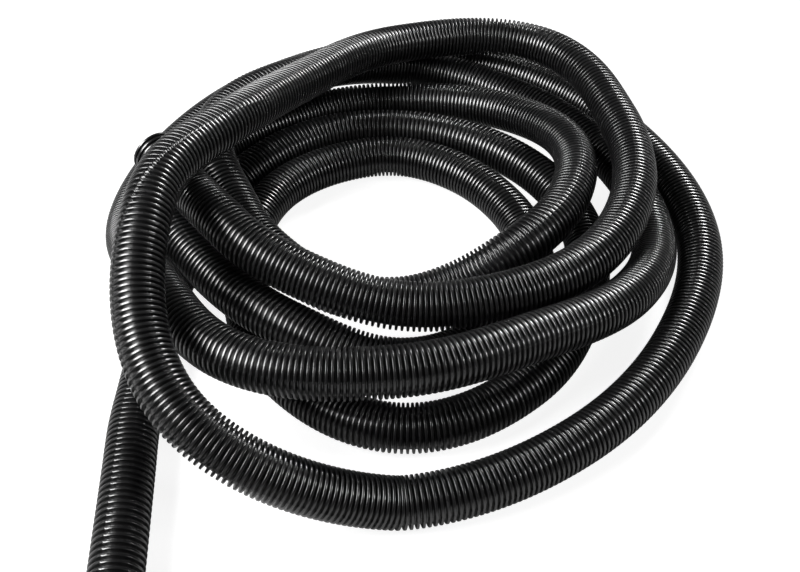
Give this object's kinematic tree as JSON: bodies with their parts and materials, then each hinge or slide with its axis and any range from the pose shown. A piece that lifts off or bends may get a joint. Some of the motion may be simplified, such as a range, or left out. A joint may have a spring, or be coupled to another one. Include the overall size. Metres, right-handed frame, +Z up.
{
  "type": "vacuum hose",
  "caption": "Corrugated vacuum hose for a pool, lying in a loose pile with one bare cut end and a swivel cuff on the other end.",
  "frame": {"origin": "middle of the whole part's outline, on the surface it lies on", "axes": "+Z up; the tail and the cuff's socket point along -Y; +X to the right of the tail seen from its cuff"},
  "size_m": [0.6298, 1.0021, 0.1816],
  "materials": {
    "hose_plastic": "glossy with fine scuffs",
    "cuff_plastic": "satin moulded",
    "retainer_plastic": "satin moulded",
    "wear_plastic": "natural acetal",
    "seal_rubber": "greased"
  },
  "bodies": {
    "hose": {"hose_coil": "hose_plastic", "hose_tail": "hose_plastic", "end_sleeve": "cuff_plastic"},
    "cuff": {"swivel_cuff": "cuff_plastic", "retaining_ring": "retainer_plastic", "wear_ring": "wear_plastic", "seal_ring": "seal_rubber"}
  },
  "joints": [
    {"name": "cuff_swivel", "type": "hinge", "parent": "hose", "child": "cuff", "pos_m": [-0.225, -0.433, 0.0288], "axis": [0, -1, 0], "continuous": true}
  ]
}
